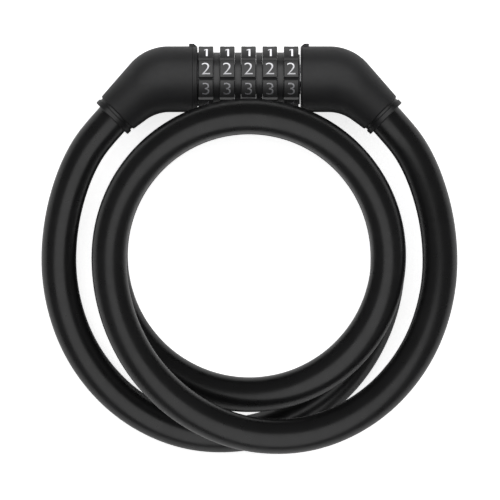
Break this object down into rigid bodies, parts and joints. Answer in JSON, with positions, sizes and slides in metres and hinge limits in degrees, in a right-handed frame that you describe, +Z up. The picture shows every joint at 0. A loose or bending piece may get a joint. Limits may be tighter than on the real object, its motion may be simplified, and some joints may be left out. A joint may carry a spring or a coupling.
{
  "type": "cable lock",
  "caption": "Coiled cable lock: a thick round cable joins two angled elbows; number dials turn between them, and the plug elbow pulls off the dial case with its finned bolt.",
  "frame": {"origin": "middle of the lock head's box: both elbows, the dials between them and the collars, measured without the cable; the dials' axis is 3.3 mm above it in Y", "axes": "+X along the dials' axis from the case elbow to the plug elbow, the way the plug pulls off; +Y from the coil to the index marks; +Z up from the surface that the coil lies on"},
  "size_m": [0.1424, 0.1409, 0.0365],
  "materials": {
    "elbow": "matte",
    "end_ring": "satin",
    "index_mark": "satin",
    "collar": "satin",
    "spacer": "satin",
    "dial": "satin",
    "code_ring": "satin",
    "core_metal": "satin",
    "thin_steel": "satin",
    "bolt_steel": "polished",
    "cable_sheath": "satin"
  },
  "bodies": {
    "case": {"elbow_left": "elbow", "end_ring_left": "end_ring", "index_mark_left": "index_mark", "cable_collar_left": "collar", "cable_ferrule_left": "thin_steel", "core_tube": "core_metal", "stack_washer": "thin_steel", "spacer_1": "spacer", "spacer_2": "spacer", "spacer_3": "spacer", "spacer_4": "spacer", "stack_clip": "thin_steel", "cable_lead_left": "cable_sheath", "cable_coil": "cable_sheath", "cable_lead_right": "cable_sheath"},
    "dial_unit_1": {"dial_1": "dial", "code_ring_1": "code_ring"},
    "dial_unit_2": {"dial_2": "dial", "code_ring_2": "code_ring"},
    "dial_unit_3": {"dial_3": "dial", "code_ring_3": "code_ring"},
    "dial_unit_4": {"dial_4": "dial", "code_ring_4": "code_ring"},
    "dial_unit_5": {"dial_5": "dial", "code_ring_5": "code_ring"},
    "plug": {"elbow_right": "elbow", "end_ring_right": "end_ring", "index_mark_right": "index_mark", "cable_collar_right": "collar", "cable_ferrule_right": "thin_steel", "locking_bolt": "bolt_steel"}
  },
  "joints": [
    {"name": "dial_1_turn", "type": "hinge", "parent": "case", "child": "dial_unit_1", "pos_m": [0, 0.00327, 0], "axis": [1, 0, 0], "continuous": true},
    {"name": "dial_2_turn", "type": "hinge", "parent": "case", "child": "dial_unit_2", "pos_m": [0, 0.00327, 0], "axis": [1, 0, 0], "continuous": true},
    {"name": "dial_3_turn", "type": "hinge", "parent": "case", "child": "dial_unit_3", "pos_m": [0, 0.00327, 0], "axis": [1, 0, 0], "continuous": true},
    {"name": "dial_4_turn", "type": "hinge", "parent": "case", "child": "dial_unit_4", "pos_m": [0, 0.00327, 0], "axis": [1, 0, 0], "continuous": true},
    {"name": "dial_5_turn", "type": "hinge", "parent": "case", "child": "dial_unit_5", "pos_m": [0, 0.00327, 0], "axis": [1, 0, 0], "continuous": true},
    {"name": "plug_slide", "type": "slide", "parent": "case", "child": "plug", "axis": [1, 0, 0], "range_m": [0, 0.04], "deforming": ["cable_lead_right"]}
  ]
}
